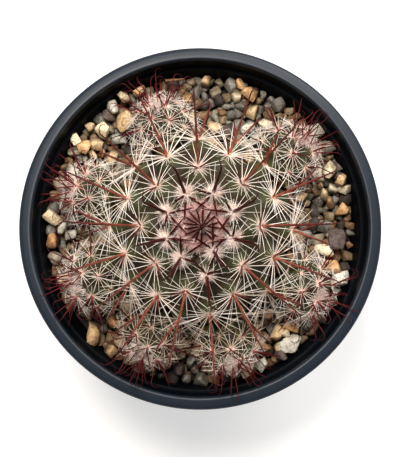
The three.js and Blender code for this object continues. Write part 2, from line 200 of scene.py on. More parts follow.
# A material: what is the same all over comes first, and what varies is connected last
class Finish(Board):
    def __init__(self, name, **fixed):
        self.material = bpy.data.materials.new(name)
        self.material.use_nodes = True
        super().__init__(self.material.node_tree)
        self.shader = self.tree.nodes["Principled BSDF"]
        for socket, value in fixed.items():
            self.shader.inputs[socket.replace("_", " ")].default_value = value
        self.where = self.add("ShaderNodeTexCoord", output="Object")

    def height(self):
        return self.add("ShaderNodeSeparateXYZ", inputs={0: self.where}, output=2)

    def noise(self, scale, detail=3, roughness=0.5, where=None):
        return self.add("ShaderNodeTexNoise", inputs={
            "Vector": where or self.where, "Scale": scale, "Detail": detail, "Roughness": roughness})

    def spots(self, scale):
        inputs = {"Vector": self.where, "Scale": scale}
        return self.add("ShaderNodeTexVoronoi", inputs=inputs, output="Distance")

    def connect(self, **wires):
        for socket, wire in wires.items():
            self.tree.links.new(wire.socket, self.shader.inputs[socket.replace("_", " ")])
        return self.material


def potPlastic():
    # The rim-top colour is painted light, and the inside colour is painted shade
    look = {"dark": (15, 17, 22), "worn": (25, 29, 36), "dust": (44, 45, 45),
            "rimTopPaintedLight": (27, 36, 47), "inside": (6, 9, 14)}
    board = Finish("potPlastic", Specular_IOR_Level=0.04, Coat_Roughness=0.42)
    cloud = board.noise(60, 4, 0.6)
    grain = board.noise(1800, 2, 0.6)
    scuff = board.noise(260, 3, 0.7, board.where * (1, 1, 9))
    away = board.add("ShaderNodeVectorMath", {"operation": "LENGTH"}, {0: board.where * (1, 1, 0)}, output=1)
    height = board.height()
    # Painted light: the rim's top is painted lighter and bluer, and the same band gets the clear coat
    rimTopPaintedLight = board.spread(height, 0.0874, 0.0888)
    # Painted shade: below and above mark the pot's inside, which is painted near-black
    below = board.spread(away - height * 0.1556, 0.042, 0.0416)
    above = board.spread(away, 0.0564, 0.056) * board.spread(height, 0.0806, 0.081)
    inside = below.most(above)
    colour = board.layer(look["dark"], look["worn"], scuff, 0.5, 0.75, 0.45)
    colour = board.layer(colour, look["dust"], cloud, 0.56, 0.8, 0.22)
    colour = board.blend(inside, colour, look["inside"])
    colour = board.blend(rimTopPaintedLight * 0.85, colour, look["rimTopPaintedLight"])
    lines = board.add("ShaderNodeTexWave", {"bands_direction": "Z"},
                      {"Vector": board.where, "Scale": 420, "Distortion": 1.2, "Detail": 2})
    return board.connect(Base_Color=colour, Roughness=board.spread(scuff + cloud * 0.4, 0.5, 0.9, 0.5, 0.62),
                         Coat_Weight=(1 - inside).most(rimTopPaintedLight) * 0.42,
                         Normal=board.bump(grain * 0.7 + lines * 0.3, 0.16, 0.0002))


def soilMix():
    board = Finish("soilMix", Roughness=1.0)
    clod = board.noise(420, 6, 0.7)
    colour = board.ramp(clod, (0.3, (14, 10, 8)), (0.55, (38, 29, 22)), (0.75, (74, 60, 46)))
    return board.connect(Base_Color=colour, Normal=board.bump(clod, 0.9, 0.001))


# The kinds of stone: tints from dark to light, the flecks' colour, and what else sets a kind apart
stoneLooks = {
    "tan": {"tints": ((160, 127, 92), (204, 171, 128), (230, 207, 168)), "fleck": (96, 72, 50)},
    "ochre": {"tints": ((152, 104, 64), (198, 152, 104), (224, 190, 146)), "fleck": (108, 70, 40)},
    "cream": {"tints": ((196, 176, 142), (224, 208, 176), (242, 232, 208)), "fleck": (150, 126, 92)},
    "grey": {"tints": ((118, 115, 105), (174, 170, 158), (222, 218, 206)), "fleck": (46, 45, 44),
             "flecks": 0.85, "pitScale": 1500},
    "pumice": {"tints": ((168, 164, 152), (204, 200, 188), (228, 224, 214)), "fleck": (96, 92, 86),
               "flecks": 0.8, "rough": (0.8, 0.95), "pit": 0.6},
    "lava": {"tints": ((58, 48, 44), (84, 72, 68), (112, 98, 90)), "fleck": (34, 30, 30),
             "flecks": 0.6, "rough": (0.75, 0.95), "pit": 0.6}}
kinds = tuple(stoneLooks)


def stoneFinish(name, tints, fleck, flecks=0.3, rough=(0.45, 0.7), pit=0.25, pitScale=900):
    board = Finish(name + "Stone")
    tint = board.attribute("tint")
    stain = board.noise(480, 4, 0.65)
    grain = board.noise(1500, 3, 0.65)
    pits = board.spots(pitScale)
    colour = board.ramp(tint * 0.7 + stain * 0.6 - 0.15, *zip((0, 0.5, 1), tints))
    shade = board.ramp(grain + stain * 0.5, (0.54, (0.27, 0.21, 0.15, 1)), (0.8, (1, 1, 0.98, 1)))
    colour = board.blend(0.85, colour, shade, "MULTIPLY")
    # Painted shade between the lower stones: they darken towards the bottom of the bed
    colour = board.layer(colour, (24, 15, 9), board.height(), 0.0788, 0.0764, 0.7)
    colour = board.layer(colour, fleck, pits, 0.28, 0.12, flecks)
    return board.connect(Base_Color=colour, Roughness=board.spread(grain, 0.3, 0.7, *rough),
                         Normal=board.bump(grain * 0.5 + board.spread(pits, 0.0, 0.3) * 0.8, pit, 0.0005))


def stemSkin():
    # The valley colour is painted shade: dark where the tubercles meet
    look = {"valley": (38, 25, 14), "flank": (48, 42, 22), "shoulder": (64, 67, 33),
            "tip": (94, 84, 47), "cool": (36, 52, 26), "speck": (106, 104, 68)}
    board = Finish("stemSkin", Specular_IOR_Level=0.22, Subsurface_Weight=0.06, Subsurface_Scale=0.002)
    rise = board.attribute("rise")
    cloud = board.noise(140, 3, 0.55)
    fine = board.noise(1400, 3, 0.6)
    specks = board.spots(2600)
    # The colour follows rise from the valleys between tubercles up to their tips, so the valleys get painted
    # shade
    colour = board.ramp(rise + cloud * 0.3 - 0.15, (0, look["valley"]), (0.22, look["flank"]),
                        (0.62, look["shoulder"]), (0.92, look["tip"]))
    colour = board.layer(colour, look["cool"], cloud, 0.42, 0.62, 0.4)
    colour = board.layer(colour, look["speck"], specks, 0.22, 0.1, 0.28)
    return board.connect(Base_Color=colour, Roughness=board.spread(fine, 0.3, 0.7, 0.48, 0.68),
                         Normal=board.bump(fine * 0.6 + specks * 0.5, 0.3, 0.0003))


def feltWool():
    board = Finish("feltWool", Roughness=0.95, Sheen_Weight=0.3)
    shade = board.attribute("shade")
    tuft = board.noise(900, 3, 0.6)
    colour = board.ramp(shade * 0.8 + tuft * 0.3 - 0.05, (0, (190, 150, 124)), (0.4, (236, 208, 192)),
                        (1, (248, 241, 236)))
    colour = board.layer(colour, (206, 142, 132), shade, 1, 2)
    # Painted shade: from 2 to 3 the felt turns dark red-brown, standing in for the shade in the gaps between
    # tufts
    colour = board.layer(colour, (112, 42, 36), shade, 2, 3)
    return board.connect(Base_Color=colour, Normal=board.bump(tuft, 0.5, 0.0004))


def radialSpine():
    board = Finish("radialSpine", Roughness=0.42)
    along, shade = board.attribute("along"), board.attribute("shade")
    colour = board.ramp(along, (0, (218, 156, 134)), (0.12, (238, 221, 208)), (0.85, (245, 242, 236)),
                        (1, (228, 204, 182)))
    colour = board.layer(colour, (212, 180, 144), shade, 0.4, 1, 0.5)
    colour = board.layer(colour, (222, 132, 122), shade, 0, -1)
    return board.connect(Base_Color=board.layer(colour, (150, 108, 74), shade, 1, 2))


def centralSpine():
    board = Finish("centralSpine", Roughness=0.42, Specular_IOR_Level=0.08)
    along, shade = board.attribute("along"), board.attribute("shade")
    streak = board.noise(700, 2, 0.5)
    old = board.ramp(along, (0, (176, 108, 82)), (0.12, (128, 72, 56)), (0.6, (100, 50, 42)),
                     (0.88, (52, 20, 20)))
    young = board.ramp(along, (0, (94, 24, 20)), (0.2, (58, 6, 7)), (0.8, (36, 3, 4)))
    crimson = board.ramp(along, (0, (164, 88, 80)), (0.25, (99, 30, 32)), (0.85, (58, 16, 19)))
    colour = board.layer(old, young, shade, 0.05, 0.5)
    colour = board.layer(colour, crimson, shade, 0.6, 0.95)
    colour = board.layer(colour, (62, 20, 20), streak, 0.4, 0.66, 0.6)
    return board.connect(Base_Color=colour)


def twigBark():
    board = Finish("twigBark", Roughness=0.85)
    grain = board.noise(900, 4, 0.6)
    return board.connect(Base_Color=board.ramp(grain, (0.35, (74, 48, 30)), (0.65, (140, 98, 62))),
                         Normal=board.bump(grain, 0.6, 0.0004))


# A geometry tree with named inputs, by kind
class Maker(Board):
    def __init__(self, name, **sockets):
        super().__init__(bpy.data.node_groups.new(name, "GeometryNodeTree"))
        new = self.tree.interface.new_socket
        for kind, labels in {"Geometry": ["Geometry"], **sockets, "Material": ["Material"]}.items():
            for label in labels:
                new(name=label, in_out="INPUT", socket_type="NodeSocket" + kind)
        new(name="Geometry", in_out="OUTPUT", socket_type="NodeSocketGeometry")
        start = self.tree.nodes.new("NodeGroupInput")
        self.given = {socket.name: Wire(self, socket) for socket in start.outputs if socket.name}

    def named(self, name, kind="FLOAT"):
        return self.add("GeometryNodeInputNamedAttribute", {"data_type": kind}, {"Name": name})

    def store(self, geometry, name, value):
        return self.add("GeometryNodeStoreNamedAttribute", {"data_type": "FLOAT", "domain": "POINT"},
                        {"Geometry": geometry, "Name": name, "Value": value})

    def move(self, geometry, place):
        return self.add("GeometryNodeSetPosition", inputs={"Geometry": geometry, "Position": place})

    def end(self, mesh):
        for kind in ("SetShadeSmooth", "RealizeInstances", "SetMaterial"):
            mesh = self.add("GeometryNode" + kind, inputs={"Geometry": mesh})
        self.tree.links.new(self.given["Material"].socket, mesh.socket.node.inputs["Material"])
        end = self.tree.nodes.new("NodeGroupOutput")
        self.tree.links.new(mesh.socket, end.inputs["Geometry"])
        return self.tree


# Sweeps a spine from every point: along aim, bowed and hooked towards curlWay, round and tapered
def spineTree():
    board = Maker("spines", Int=("Points", "Sides"),
                  Float=("Hook Share", "Hook Swing", "Tip", "Taper", "Swelling"))
    given = board.given
    line = board.add("GeometryNodeCurvePrimitiveLine", inputs={"End": (0, 0, mm)})
    line = board.add("GeometryNodeResampleCurve", inputs={"Curve": line, "Count": given["Points"]})
    placed = board.add("GeometryNodeInstanceOnPoints", inputs={"Points": given["Geometry"], "Instance": line})
    curves = board.add("GeometryNodeRealizeInstances", inputs={"Geometry": placed})
    along = board.add("GeometryNodeSplineParameter")
    straight = (along / (1 - given["Hook Share"])).least(1)
    hooked = ((along - (1 - given["Hook Share"])) / given["Hook Share"]).most(0) * given["Hook Swing"]
    root, aim, curlWay = (board.named(name, "FLOAT_VECTOR") for name in ("root", "aim", "curlWay"))
    length, curl, bow, width = (board.named(name) for name in ("length", "curl", "bow", "width"))
    forward = length * straight + curl * hooked.sine()
    sideways = bow * length * straight * straight + curl * (1 - hooked.cosine())
    curves = board.move(curves, root + aim * forward + curlWay * sideways)
    curves = board.store(curves, "along", along)
    slim = given["Tip"] + (1 - given["Tip"]) * (1 - along ** given["Taper"])
    swollen = given["Swelling"] * (1 - along * 12).most(0)
    ring = board.add("GeometryNodeCurvePrimitiveCircle", inputs={"Resolution": given["Sides"], "Radius": 1.0})
    return board.end(board.add("GeometryNodeCurveToMesh", inputs={
        "Curve": curves, "Profile Curve": ring, "Scale": width * (slim + swollen), "Fill Caps": True}))


# Raises a head's skin into tubercles round its areoles, given as points on a unit sphere
def skinTree():
    board = Maker("skin", Int=("Detail",), Float=("Radius", "Groove", "Reach", "Stretch", "Fall"))
    given = board.given
    ball = board.add("GeometryNodeMeshIcoSphere", inputs={"Radius": 1.0, "Subdivisions": given["Detail"]})
    points = board.add("GeometryNodeMeshToPoints", inputs={"Mesh": given["Geometry"]})
    away = board.add("GeometryNodeProximity", {"target_element": "POINTS"}, {0: points}, output="Distance")
    rise = 1 - (away / given["Reach"]).least(1)
    where = board.add("GeometryNodeInputPosition")
    depth = given["Groove"] * (1 - rise) ** given["Fall"]
    stretch = board.add("ShaderNodeCombineXYZ", inputs={0: 1.0, 1: 1.0, 2: given["Stretch"]})
    return board.end(board.move(board.store(ball, "rise", rise), where * (given["Radius"] - depth) * stretch))


# Lays one of a collection's shapes at every point, turned, sized and tinted by the point
def scatterTree():
    board = Maker("scatter", Collection=("Shapes",))
    shapes = board.add("GeometryNodeCollectionInfo", {"transform_space": "ORIGINAL"}, {
        "Collection": board.given["Shapes"], "Separate Children": True, "Reset Children": True})
    turned = board.add("FunctionNodeEulerToRotation", inputs={0: board.named("turned", "FLOAT_VECTOR")})
    return board.end(board.add("GeometryNodeInstanceOnPoints", inputs={
        "Points": board.given["Geometry"], "Instance": shapes, "Pick Instance": True, "Rotation": turned,
        "Instance Index": board.named("shape", "INT"), "Scale": board.named("size", "FLOAT_VECTOR")}))


# Gives points and values to a tree, and keeps the result as a plain mesh that stands for a node
def grow(name, node, tree, points, values, settings):
    seedMesh = bpy.data.meshes.new(name + "Points")
    seedMesh.from_pydata([tuple(p) for p in points], [], [])
    for label, numbers in values.items():
        kind = "INT" if numbers.dtype.kind == "i" else "FLOAT_VECTOR" if numbers.ndim == 2 else "FLOAT"
        attribute = seedMesh.attributes.new(label, kind, "POINT")
        attribute.data.foreach_set("vector" if kind == "FLOAT_VECTOR" else "value", numbers.ravel())
    seed = newObject(name + "Points", seedMesh)
    modifier = seed.modifiers.new(name, "NODES")
    modifier.node_group = tree
    sockets = {item.name: item.identifier for item in tree.interface.items_tree if item.in_out == "INPUT"}
    for label, value in settings.items():
        modifier[sockets[label]] = value
    depsgraph = bpy.context.evaluated_depsgraph_get()
    mesh = bpy.data.meshes.new_from_object(seed.evaluated_get(depsgraph), preserve_all_data_layers=True,
                                           depsgraph=depsgraph)
    mesh.name = name
    bpy.data.objects.remove(seed)
    return finishPiece(newObject(name, mesh), node)


def finishPiece(piece, node):
    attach(piece, "root")
    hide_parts(node)
    return piece


def mainAreoles():
    dirs, levels = [], []
    for n in range(spiral["from"], spiral["to"] + 1):
        plain = spiral["first"] + n * spiral["step"]
        bearing = plain + spiral["warp"] * sin(radians(plain - spiral["warpAt"]))
        along = (plain - spiral["seam"]) / 360 + spiral["half"]
        flight = along - floor(along)
        step = smooth(flight / (2 * spiral["half"])) + spiral["slope"] * (flight - 0.5)
        level = max(floor(along) - 1 + step, spiral["innermost"])
        dirs.append(direction(radians(spiral["tilt"] + spiral["turn"] * level), radians(bearing)))
        levels.append(level)
    return np.array(dirs), np.array(levels)


def pupAreoles(phase):
    dirs, levels = [], []
    for i in range(pupRing["areoles"]):
        tilt = acos(1 - 2 * (i + 0.5) / pupRing["areoles"])
        if tilt < radians(pupRing["lowest"]):
            dirs.append(direction(tilt, i * radians(pupRing["turn"]) + phase))
            levels.append(i / pupRing["perLevel"])
    return np.array(dirs), np.array(levels)


def setUpHeads():
    heads = [dict(mainHead)]
    heads[0]["dirs"], heads[0]["levels"] = mainAreoles()
    for i, (bearing, scale) in enumerate(zip(pupRing["bearings"], pupRing["scales"])):
        (x, y, _), out = mainHead["centre"], pupRing["distance"]
        centre = (x + out * cos(radians(bearing)), y + out * sin(radians(bearing)), pupRing["height"])
        pup = {"name": f"pup_{i + 1}", "kind": "pup", "centre": centre, "bearing": bearing,
               "radius": pupRing["radius"] * scale,
               **{key: pupRing[key] for key in ("lean", "stretch", "groove", "reach", "detail")}}
        pup["dirs"], pup["levels"] = pupAreoles(i * pupRing["phase"])
        heads.append(pup)
    for head in heads:
        lean = Matrix.Rotation(radians(head["lean"]), 3, "Y")
        head["turned"] = turned = np.array(Matrix.Rotation(radians(head["bearing"]), 3, "Z") @ lean)
        stretch = np.array((1, 1, head["stretch"]))
        head["spots"] = np.array(head["centre"]) + (head["dirs"] * head["radius"] * stretch) @ turned.T
        head["normals"] = unit((head["dirs"] * (head["stretch"], head["stretch"], 1)) @ turned.T)
        axis = turned @ (0, 0, 1)
        head["downs"] = unit(head["normals"] * (head["normals"] @ axis)[:, None] - axis)
        head["acrosses"] = np.cross(head["normals"], head["downs"])
    return heads


# How far outside a head's outline points lie: 1 is on it
def outside(points, head, gap=0):
    local = (np.asarray(points) - head["centre"]) @ head["turned"]
    sizes = np.array((1, 1, head["stretch"])) * head["radius"] + gap
    return np.linalg.norm(local / sizes, axis=-1)


# An areole shows above the gravel, inside the pot's mouth and clear of the other heads
shown = {"main": 82.2, "pup": 83.4, "out": 52.4, "apart": 1.2}


def exposed(head, heads):
    spots = head["spots"]
    clear = (spots[:, 2] > shown[head["kind"]]) & (np.hypot(spots[:, 0], spots[:, 1]) < shown["out"])
    for other in heads:
        if other is not head:
            clear &= outside(spots, other, shown["apart"]) > 1
    return clear


# Areoles are young up to the first three levels, and low from the last one
innerLevel, youngLevel, pupYoungLevel, lowLevel = -0.3, 0.75, 0.9, 2.6


# Each open areole's number and level, and its place, normal and ways down and across
def openAreoles(head):
    for k in np.flatnonzero(head["open"]):
        yield k, head["levels"][k], [head[key][k] for key in ("spots", "normals", "downs", "acrosses")]


# Below the gravel the main globe draws in to its root crown. Fall is how steeply a tubercle drops
stemForm = {"drawFrom": -11, "drawOver": 19, "drawEase": 1.2, "draw": 0.62, "fall": 1.6, "gap": 0.35}


def makeStem(head, heads, tree, material):
    stem = grow(head["name"] + "_stem", head["name"], tree, head["dirs"], {}, {
        "Detail": head["detail"], "Radius": float(head["radius"]), "Groove": head["groove"],
        "Reach": 2 * sin(radians(head["reach"]) / 2), "Stretch": float(head["stretch"]),
        "Fall": stemForm["fall"], "Material": material})
    isMain = head["kind"] == "main"
    points = np.array([vertex.co for vertex in stem.data.vertices])
    if isMain:
        drawn = np.clip((stemForm["drawFrom"] - points[:, 2]) / stemForm["drawOver"], 0, 1)
        points[:, :2] *= (1 - stemForm["draw"] * drawn ** stemForm["drawEase"])[:, None]
    points = points @ head["turned"].T + head["centre"]
    if isMain:
        for pup in heads[1:]:
            points = pressBack(points, head, pup)
    stem.data.vertices.foreach_set("co", (points * mm).ravel())
    stem.data.update()


# Moves the main head's skin in to where a pup presses on it, along lines from the head's centre
def pressBack(points, head, pup):
    sizes = np.array((1, 1, pup["stretch"])) * pup["radius"] + stemForm["gap"]
    start = ((np.array(head["centre"]) - pup["centre"]) @ pup["turned"]) / sizes
    arms = points - head["centre"]
    reach = np.linalg.norm(arms, axis=1)
    aims = ((arms / reach[:, None]) @ pup["turned"]) / sizes
    a, b, c = (aims ** 2).sum(1), aims @ start, start @ start - 1
    inside = b * b - a * c
    meet = np.where(inside > 0, (-b - np.sqrt(np.maximum(inside, 0))) / a, inf)
    meet = np.where(meet > 0, meet, inf)
    return head["centre"] + arms * (np.minimum(reach, meet) / reach)[:, None]


radial = {"main": {"count": 20, "length": 9.9, "longer": 0.22, "shorter": 0.5, "width": 0.105, "raise": 12,
                   "young": 0.7, "bow": -0.06, "seed": 31},
          "pup": {"count": 15, "length": 6.0, "longer": 0.15, "shorter": 0.25, "width": 0.094, "raise": 16,
                  "young": 0.76, "bow": -0.07, "seed": 47}}
plainSpine = {"Hook Share": 0.001, "Hook Swing": 0.0, "Tip": 0.3, "Swelling": 0.3}


# Grows spines or hairs from rows of root, aim, curl's way, length, width, curl and shade
def growSpines(name, node, tree, rows, bow, settings):
    labels = ("root", "aim", "curlWay", "length", "width", "curl", "shade")
    values = {label: np.array(column, float) for label, column in zip(labels, zip(*rows))}
    for label in ("root", "length", "width", "curl"):
        values[label] *= mm
    values["bow"] = np.full(len(rows), bow)
    grow(name, node, tree, values["root"], values, {**plainSpine, **settings})


# A spine stays above the gravel, off the other heads and, below each height, inside a radius
room = {"gravel": 80.4, "apart": 0.3, "inside": ((inf, 59), (91, 54.9), (83, 52.6))}


def isFree(points, head, heads):
    out, height = np.hypot(points[:, 0], points[:, 1]), points[:, 2]
    if (height < room["gravel"]).any():
        return False
    if any((out[height < top] > wall).any() for top, wall in room["inside"]):
        return False
    return all(other is head or (outside(points, other, room["apart"]) > 1).all() for other in heads)


# The main head's lowest areoles are dry: 0 is fresh, 1 is dry
def ageOf(level):
    return smooth((level - 2.8) / 1.2)


# Pups whose spines have yellowed
weathered = {"pup_4": 0.15, "pup_5": 0.85, "pup_6": 0.75, "pup_7": 0.3}


def makeRadials(head, heads, tree, material):
    isMain = head["kind"] == "main"
    style = radial[head["kind"]]
    rng = np.random.default_rng(style["seed"] + int(head["bearing"]))
    rows = []
    steps = np.linspace(0.25, 1, 5)[:, None]
    for _, level, (spot, normal, down, across) in openAreoles(head):
        young = style["young"] + 0.24 * min(max(level, -0.6), 2.3)
        offset = rng.uniform(0, 1)
        extra = 6 if isMain and level > 1.5 else 3 if not isMain and level < pupYoungLevel else 0
        aged = ageOf(level) if isMain else 0
        dull = aged + weathered.get(head["name"], 0)
        count, slim = int((style["count"] + extra) * (1 - 0.5 * aged)), 1
        if isMain and level < youngLevel:
            count, slim = (17, 0.68) if level > innerLevel else (6, 0.5)
            young *= slim + 0.4
        stout = 1.12 if isMain and 1.2 < level < 3 else 1
        rosy = 0 if isMain or level > pupYoungLevel else 0.9 if level < 0.5 else 0.4
        if rosy:
            young *= 1.15
        for i in range(count):
            bearing = (i + offset + rng.uniform(-0.3, 0.3)) / count * fullTurn
            outwards = (1 + cos(bearing)) / 2
            long = 1 - style["shorter"] * (1 - outwards) + style["longer"] * outwards
            full = style["length"] * young * long * rng.uniform(0.86, 1.1)
            flat = down * cos(bearing) + across * sin(bearing)
            # Where a spine would run into something, it stands up more steeply
            for steeper, share in ((1, 1), (1.7, 1), (2.5, 0.85)):
                angle = radians(style["raise"] * steeper + rng.uniform(-5, 6))
                aim = flat * cos(angle) + normal * sin(angle)
                if isFree(spot + aim * full * share * steps, head, heads):
                    width = style["width"] * slim * stout * rng.uniform(0.85, 1.15)
                    shade = rng.uniform(0, 1) ** 2 + rng.uniform(0.4, 1.6) * dull
                    rows.append((spot + flat * 0.35 - normal * 0.1, aim,
                                 normal * cos(angle) - flat * sin(angle), full * share,
                                 width * (0.75 + 0.25 * outwards), 0, shade - rosy * rng.uniform(0, 1)))
                    break
    sides = 5 if isMain else 4
    growSpines(head["name"] + "_radials", head["name"], tree, rows, style["bow"],
               {"Points": sides + 1, "Sides": sides, "Taper": 2.6, "Material": material})


# An areole's central spine: how long, and how far it tips down from the normal
def mainCentral(level):
    if level < youngLevel:
        return 14.2 + 3 * max(level, 0), 3
    if level < 1.7:
        return 24, 24
    return (20, 17) if level < lowLevel else (10, 8)


def pupCentral(level):
    return (7.4, 6) if level < pupYoungLevel else (6.8, 16)


# The smaller centrals above it: length, tip, turn aside and hook
def upperCentrals(isMain, level):
    if not isMain:
        if level < pupYoungLevel:
            return [(7, -4, 30, 1), (6.2, -20, -28, 1)]
        return [(4.8, -12, 24, 0.8)] if level < 1.8 else []
    if level < youngLevel:
        return [(9.4, -70, 24, 0.15), (8.8, -66, -28, 0.15), (5, -30, 60, 0.3)]
    return [(8, -26, 30, 0.5), (7, -24, -34, 0.4)] if level < 2 else [(6, -12, 24, 0.4)]


central = {"main": {"width": 0.42, "curl": 1.75, "seed": 5, "lowest": 99, "points": 20, "sides": 7},
           "pup": {"width": 0.22, "curl": 1.5, "seed": 20, "lowest": 2.2, "points": 14, "sides": 5,
                   "crownHooks": 7}}


def makeCentrals(head, heads, tree, material):
    isMain = head["kind"] == "main"
    style = central[head["kind"]]
    ownSeed = style["seed"] + max(heads.index(head) - 1, 0)
    rolls, rng = seededRandom(ownSeed), np.random.default_rng(ownSeed)
    rows = []
    for k, level, here in openAreoles(head):
        roll = (next(rolls) * 2 - 1) * radians(70)
        shade = centralShade(isMain, level, rng)
        if isMain and level < innerLevel:
            rows += youngRows(head, here, rng)
            continue
        if level <= style["lowest"]:
            length, tip = (mainCentral if isMain else pupCentral)(level)
            thick = 1.3 if isMain and level < youngLevel else 1
            aside = 0.4 * (-1) ** k if isMain and level >= lowLevel else 0
            for share, shift in ((1, 0), (1, 0.2), (1, -0.2), (0.8, 0), (0.8, -0.35), (0.6, -0.2)):
                row, path = hookRow(head, here, length * share, radians(tip) + shift, aside, roll,
                                    thick, shade)
                if isFree(path, head, heads):
                    rows.append(row)
                    break
        for length, tip, aside, hook in upperCentrals(isMain, level):
            tip, aside = (radians(angle + rng.uniform(-5, 5)) for angle in (tip, aside))
            row, path = hookRow(head, here, length * rng.uniform(0.85, 1.1), tip, aside,
                                rng.uniform(-1.2, 1.2), 0.95 if level < youngLevel else 0.7, shade, hook)
            if isFree(path, head, heads):
                rows.append(row)
    if not isMain:
        rows += [row for row, path in crownHooks(head, rng) if isFree(path, head, heads)]
    growSpines(head["name"] + "_centrals", head["name"], tree, rows, -0.02, {
        "Points": style["points"], "Sides": style["sides"], "Hook Share": 0.6, "Material": material,
        "Hook Swing": radians(162), "Tip": 0.16, "Taper": 2.6, "Swelling": 0.4})


# The youngest spines stand over the crown and meet above it
def youngRows(head, here, rng):
    spot, normal, down, across = here
    rows = []
    for aside in (-1, 1):
        meeting = head["centre"] + np.array((0.4, -0.6, head["radius"] + 6.2)) + rng.normal(scale=0.3, size=3)
        root = spot + down * rng.uniform(0.6, 1.5) + across * aside * rng.uniform(0.9, 1.3) - normal * 0.3
        reach = np.linalg.norm(meeting - root)
        rows.append((root, (meeting - root) / reach, across, reach * rng.uniform(0.85, 1.05), 0.36, 0.2, 0.5))
    return rows


# Crimson hooks that stand out of a pup's woolly crown
def crownHooks(head, rng):
    rows = []
    for _ in range(central["pup"]["crownHooks"]):
        outward = direction(radians(rng.uniform(4, 30)), rng.uniform(0, fullTurn))
        spot = head["centre"] + head["turned"] @ (outward * (1, 1, head["stretch"]) * head["radius"])
        normal = unit(head["turned"] @ outward)
        across = unit(np.cross(normal, rng.normal(size=3)))
        here = (spot, normal, np.cross(across, normal), across)
        rows.append(hookRow(head, here, rng.uniform(6, 10), radians(rng.uniform(0, 38)), 0,
                            rng.uniform(0, fullTurn), 0.9, 0.95))
    return rows


# A hooked spine's row, and points along it
def hookRow(head, here, length, tip, aside, roll, scale, shade, hook=1):
    spot, normal, down, across = here
    style = central[head["kind"]]
    aim = unit(normal * cos(tip) + down * sin(tip) + across * sin(aside))
    curlWay = unit(np.cross(across, aim))
    curlWay = curlWay * cos(roll) + np.cross(aim, curlWay) * sin(roll)
    root = spot - normal * 0.2 + down * (0.25 if scale >= 1 else -0.3)
    curl = style["curl"] * hook
    path = root + aim * (length + 0.9) * np.linspace(0.2, 1, 6)[:, None]
    path = np.vstack([path, path[-1] + aim * curl + curlWay * curl, path[-1] + curlWay * curl * 2])
    shade -= 0.24 * weathered.get(head["name"], 0)
    return (root, aim, curlWay, length + 0.9, style["width"] * scale, curl, shade), path


# 0 is an old horn-brown spine, a half a young dark one, and 1 a pup's crimson one
def centralShade(isMain, level, rng):
    if not isMain:
        return 0.95 - 0.3 * smooth(level - 1)
    return 0.5 if level < youngLevel else max(0.0, 0.16 - 0.1 * (level - 1)) + rng.uniform(0, 0.06)


wool = {"main": {"hairs": 110, "extra": 330, "length": 2.8, "width": 0.055, "pads": 50, "pad": 0.27,
                 "seed": 71},
        "pup": {"hairs": 34, "extra": 20, "length": 1.7, "width": 0.055, "pads": 10, "pad": 0.22,
                "seed": 83}}
# A crown's blush above 2 is painted shade: dark tufts in place of the gaps in the felt
crown = {"main": {"hairs": 1500, "reach": 7.8, "length": 2.0, "width": 0.055, "pads": 260, "blushAndShade": (0, 3.1),
                  "tufts": 64, "loose": 0.46},
         "pup": {"hairs": 460, "reach": 4.4, "length": 2.3, "width": 0.052, "pads": 10, "blushAndShade": (1.5, 2.2),
                 "tufts": 16, "loose": 0.6}}


def makeWool(head, tree, material):
    isMain = head["kind"] == "main"
    style = wool[head["kind"]]
    rng = np.random.default_rng(style["seed"] + int(head["bearing"]))
    rows = crownWool(head, crown[head["kind"]], rng)
    for _, level, (spot, normal, down, across) in openAreoles(head):
        fresh = 1 - smooth((level + 0.2) / 2.4)
        youngest = isMain and level < innerLevel
        rosy = 0.8 if youngest or (not isMain and level < pupYoungLevel) else 0.16 + 0.1 * fresh
        aged = ageOf(level) if isMain else 0
        hairs = int(style["hairs"] * (0.5 + 0.5 * fresh - 0.3 * aged) + style["extra"] * fresh ** 2)
        for i in range(hairs + int(style["pads"] * (1 - 0.8 * aged))):
            isPad = i >= hairs
            bearing = rng.uniform(0, fullTurn)
            lean = radians(70 if isPad else 95) * sqrt(rng.uniform(0, 1))
            flat = down * cos(bearing) + across * sin(bearing)
            grown = style["length"] * (0.58 + 0.66 * fresh) * rng.uniform(0.4, 0.66 if isPad else 1.1)
            isRosy = rng.uniform() < rosy
            shade = rng.uniform(1, 1.7) if isRosy else 0.3 + 0.5 * fresh + rng.uniform(-0.3, 0.2)
            shade += 0.5 if youngest else -0.3 * aged
            rows.append((spot + flat * rng.uniform(0, 0.8) * sin(lean) - normal * 0.2,
                         flat * sin(lean) + normal * cos(lean), grown,
                         style["pad"] * (0.7 + 0.4 * fresh) if isPad else style["width"], max(shade, 0)))
    aims = np.array([row[1] for row in rows])
    curlWays = unit(np.cross(aims, rng.normal(size=aims.shape)))
    rows = [(root, aim, curlWay, length, width, 0, shade)
            for (root, aim, length, width, shade), curlWay in zip(rows, curlWays)]
    growSpines(head["name"] + "_wool", head["name"], tree, rows, 0.22,
               {"Points": 3, "Sides": 3, "Taper": 2.0, "Swelling": 0.0, "Material": material})


